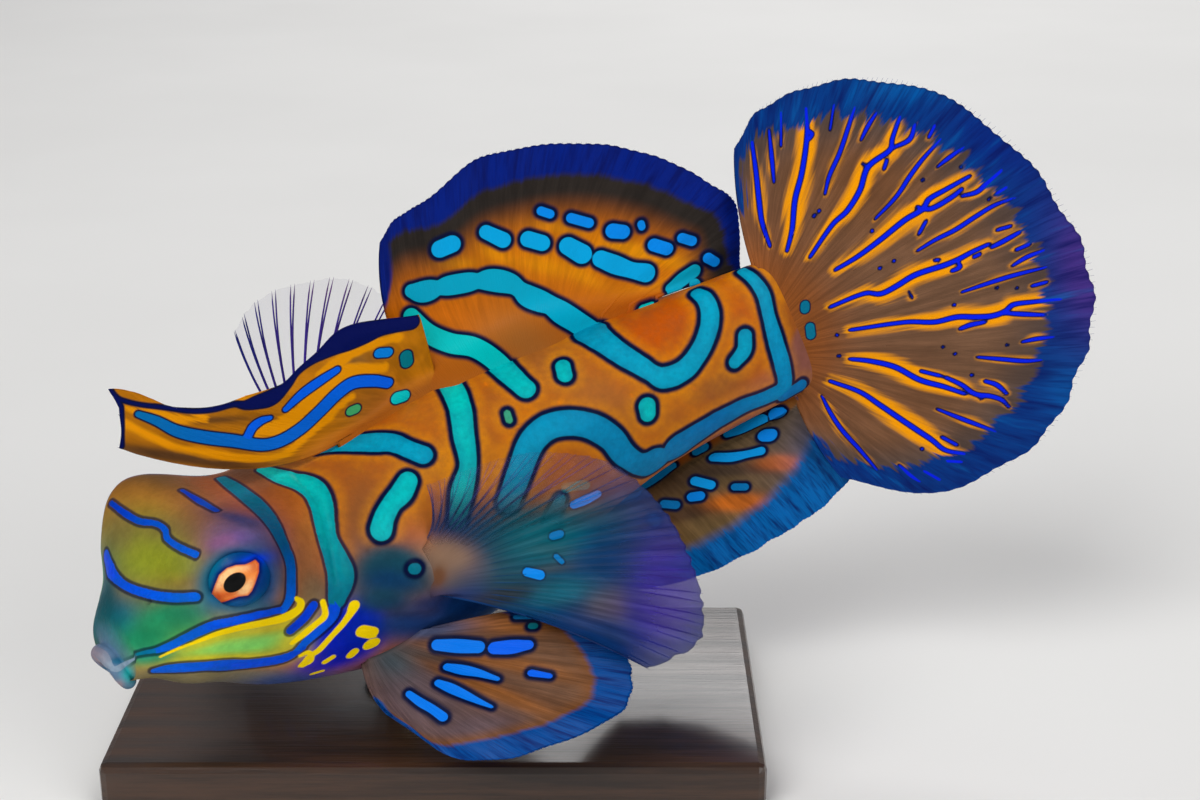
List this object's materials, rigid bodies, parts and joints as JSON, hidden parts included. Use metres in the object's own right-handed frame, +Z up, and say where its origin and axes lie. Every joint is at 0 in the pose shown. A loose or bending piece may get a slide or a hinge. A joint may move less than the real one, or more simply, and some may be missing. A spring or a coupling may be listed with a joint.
{
  "type": "mandarinfish",
  "caption": "Small reef fish with a broad low-mouthed head, bent body and wide fan-like fins, held over a flat display base on one short rod.",
  "frame": {"origin": "centre of the display base's underside", "axes": "+Z up, +X along the base's length towards the fish's tail, -Y towards the fish's left flank"},
  "size_m": [0.0614, 0.0331, 0.0419],
  "materials": {
    "skin": "smooth wet scaleless skin, orange with turquoise bands edged in dark blue",
    "head_skin": "smooth wet skin, yellow-green and teal with blue lines",
    "eye": "clear moist cornea over an orange-red iris and a black pupil",
    "fin": "thin rayed membrane, orange-brown with blue lines and a blue margin",
    "stand_wood": "dark oiled wood, satin",
    "stand_metal": "brushed brass"
  },
  "bodies": {
    "root": {"head": "head_skin", "eye_left": "eye", "eye_right": "eye", "front_trunk": "skin", "rear_trunk": "skin", "tail_stalk": "skin", "first_dorsal_fin": "fin", "second_dorsal_fin": "fin", "anal_fin": "fin", "caudal_fin": "fin", "pectoral_fin_left": "fin", "pectoral_fin_right": "fin", "pelvic_fin_left": "fin", "pelvic_fin_right": "fin", "stand_base": "stand_wood", "stand_rod": "stand_metal"}
  },
  "joints": []
}
